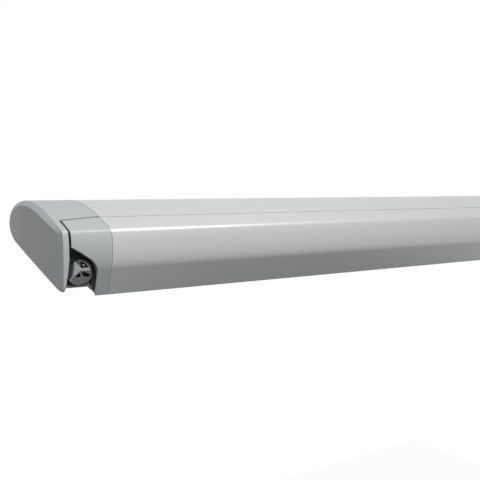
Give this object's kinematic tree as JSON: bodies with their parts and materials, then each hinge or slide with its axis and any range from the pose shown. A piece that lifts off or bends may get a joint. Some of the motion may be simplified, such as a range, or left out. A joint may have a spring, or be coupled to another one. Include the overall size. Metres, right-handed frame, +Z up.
{
  "type": "roll out awning",
  "caption": "Roof cassette awning with a crank-driven fabric roller, coupled folding arms and a lead rail that closes the case and carries swing-down telescopic legs.",
  "frame": {"origin": "middle of the mounting foot's drilled land, on its lower face", "axes": "+X along the cassette from the crank end to the plain end, -Y to the side that rolls out, +Z up"},
  "size_m": [2.6, 0.2345, 0.1222],
  "materials": {
    "anodised_profile": "satin anodised",
    "arm_aluminium": "satin anodised",
    "cap_plastic": "light grey moulded",
    "cast_metal": "grey powder coat",
    "steel": "zinc plated",
    "eye_chrome": "bright chromed die casting",
    "bronze": "plain turned",
    "black_plastic": "black moulded",
    "lever_plastic": "red moulded",
    "soft_rubber": "black",
    "awning_cloth": "coated weave with plain tonal stripes"
  },
  "bodies": {
    "housing": {"housing_profile": "anodised_profile", "housing_cap_left": "cap_plastic", "housing_cap_right": "cap_plastic", "housing_screws": "steel", "end_frame_left": "cast_metal", "end_frame_right": "cast_metal", "slot_nuts": "steel", "floor_seal": "soft_rubber", "plain_bushes": "bronze", "gearbox_body": "cast_metal", "gearbox_cover": "cast_metal", "shoulder_bracket_left": "cast_metal", "shoulder_bracket_right": "cast_metal", "shoulder_bracket_bolts": "steel", "shoulder_pins": "steel"},
    "roller": {"roller_tube": "anodised_profile", "roller_plug_left": "black_plastic", "roller_plug_right": "black_plastic", "worm_wheel": "bronze", "fabric_roll": "awning_cloth"},
    "crank": {"crank_eye": "eye_chrome", "crank_eye_pin": "steel", "worm_shaft": "steel"},
    "lead_rail": {"lead_rail_profile": "anodised_profile", "lead_cap_left": "cap_plastic", "lead_cap_right": "cap_plastic", "lead_rail_screws": "steel", "wrist_brackets": "cast_metal", "rail_pins": "steel", "fabric_keder": "awning_cloth", "leg_hinge_blocks": "black_plastic"},
    "canopy": {"canopy_fabric": "awning_cloth"},
    "left_upper_arm": {"left_shoulder_knuckle": "cast_metal", "left_upper_arm_tube": "arm_aluminium", "left_elbow_fork": "cast_metal", "left_elbow_pin": "steel", "left_arm_spring": "steel"},
    "left_forearm": {"left_elbow_tongue": "cast_metal", "left_forearm_tube": "arm_aluminium", "left_wrist_knuckle": "cast_metal"},
    "left_leg": {"left_leg_outer": "arm_aluminium", "left_leg_clamp": "black_plastic"},
    "left_lever": {"left_leg_lever": "lever_plastic"},
    "left_leg_end": {"left_leg_inner": "arm_aluminium"},
    "left_foot": {"left_leg_foot": "soft_rubber"},
    "right_upper_arm": {"right_shoulder_knuckle": "cast_metal", "right_upper_arm_tube": "arm_aluminium", "right_elbow_fork": "cast_metal", "right_elbow_pin": "steel", "right_arm_spring": "steel"},
    "right_forearm": {"right_elbow_tongue": "cast_metal", "right_forearm_tube": "arm_aluminium", "right_wrist_knuckle": "cast_metal"},
    "right_leg": {"right_leg_outer": "arm_aluminium", "right_leg_clamp": "black_plastic"},
    "right_lever": {"right_leg_lever": "lever_plastic"},
    "right_leg_end": {"right_leg_inner": "arm_aluminium"},
    "right_foot": {"right_leg_foot": "soft_rubber"}
  },
  "joints": [
    {"name": "left_shoulder", "type": "hinge", "parent": "housing", "child": "left_upper_arm", "pos_m": [-1.2, -0.069, 0.036], "axis": [0, 0.1392, -0.9903], "range_deg": [0, 78]},
    {"name": "left_elbow", "type": "hinge", "parent": "left_upper_arm", "child": "left_forearm", "pos_m": [-0.16389, -0.08583, 0.03363], "axis": [0, 0.1392, -0.9903], "range_deg": [-156, 0]},
    {"name": "left_wrist", "type": "hinge", "parent": "left_forearm", "child": "lead_rail", "pos_m": [-1.2, -0.10267, 0.03127], "axis": [0, 0.1392, -0.9903], "range_deg": [0, 78]},
    {"name": "right_shoulder", "type": "hinge", "parent": "housing", "child": "right_upper_arm", "pos_m": [1.2, -0.069, 0.036], "axis": [0, -0.1392, 0.9903], "range_deg": [0, 78]},
    {"name": "right_elbow", "type": "hinge", "parent": "right_upper_arm", "child": "right_forearm", "pos_m": [0.16389, -0.08583, 0.03363], "axis": [0, -0.1392, 0.9903], "range_deg": [-156, 0]},
    {"name": "roller_turn", "type": "hinge", "parent": "housing", "child": "roller", "pos_m": [0, -0.01, 0.0555], "axis": [1, 0, 0], "range_deg": [0, 3794]},
    {"name": "crank_turn", "type": "hinge", "parent": "housing", "child": "crank", "pos_m": [-1.2675, -0.155, 0.0045], "axis": [0, 0.9805, 0.1966], "range_deg": [-49256, 0]},
    {"name": "fabric_run", "type": "slide", "parent": "housing", "child": "canopy", "axis": [0, -0.9903, -0.1392], "range_m": [0, 2], "deforming": ["canopy_fabric"]},
    {"name": "left_leg_swing", "type": "hinge", "parent": "lead_rail", "child": "left_leg", "pos_m": [-1.18, -0.1362, 0], "axis": [0, 1, 0], "range_deg": [0, 90]},
    {"name": "left_leg_slide", "type": "slide", "parent": "left_leg", "child": "left_leg_end", "axis": [1, 0, 0], "range_m": [0, 0.88]},
    {"name": "left_foot_turn", "type": "hinge", "parent": "left_leg_end", "child": "left_foot", "pos_m": [-0.143, -0.1362, 0], "axis": [0, 1, 0], "range_deg": [-90, 0]},
    {"name": "left_lever_turn", "type": "hinge", "parent": "left_leg", "child": "left_lever", "pos_m": [-0.187, -0.1362, -0.0209], "axis": [0, -1, 0], "range_deg": [0, 80]},
    {"name": "right_leg_swing", "type": "hinge", "parent": "lead_rail", "child": "right_leg", "pos_m": [1.18, -0.1362, 0], "axis": [0, -1, 0], "range_deg": [0, 90]},
    {"name": "right_leg_slide", "type": "slide", "parent": "right_leg", "child": "right_leg_end", "axis": [-1, 0, 0], "range_m": [0, 0.88]},
    {"name": "right_foot_turn", "type": "hinge", "parent": "right_leg_end", "child": "right_foot", "pos_m": [0.143, -0.1362, 0], "axis": [0, -1, 0], "range_deg": [-90, 0]},
    {"name": "right_lever_turn", "type": "hinge", "parent": "right_leg", "child": "right_lever", "pos_m": [0.187, -0.1362, -0.0209], "axis": [0, 1, 0], "range_deg": [0, 80]}
  ],
  "couplings": [
    {"joint": "left_elbow", "follows": "left_shoulder", "ratio": -2},
    {"joint": "left_wrist", "follows": "left_shoulder", "ratio": 1},
    {"joint": "right_shoulder", "follows": "left_shoulder", "ratio": 1},
    {"joint": "right_elbow", "follows": "left_shoulder", "ratio": -2},
    {"joint": "roller_turn", "follows": "left_shoulder", "ratio": 48.566},
    {"joint": "crank_turn", "follows": "left_shoulder", "ratio": -631.36},
    {"joint": "fabric_run", "follows": "left_shoulder", "m_per_rad": 1.4691},
    {"joint": "left_leg_slide", "follows": "left_leg_swing", "m_per_rad": 0.56},
    {"joint": "left_foot_turn", "follows": "left_leg_swing", "ratio": -1},
    {"joint": "right_leg_slide", "follows": "right_leg_swing", "m_per_rad": 0.56},
    {"joint": "right_foot_turn", "follows": "right_leg_swing", "ratio": -1}
  ]
}
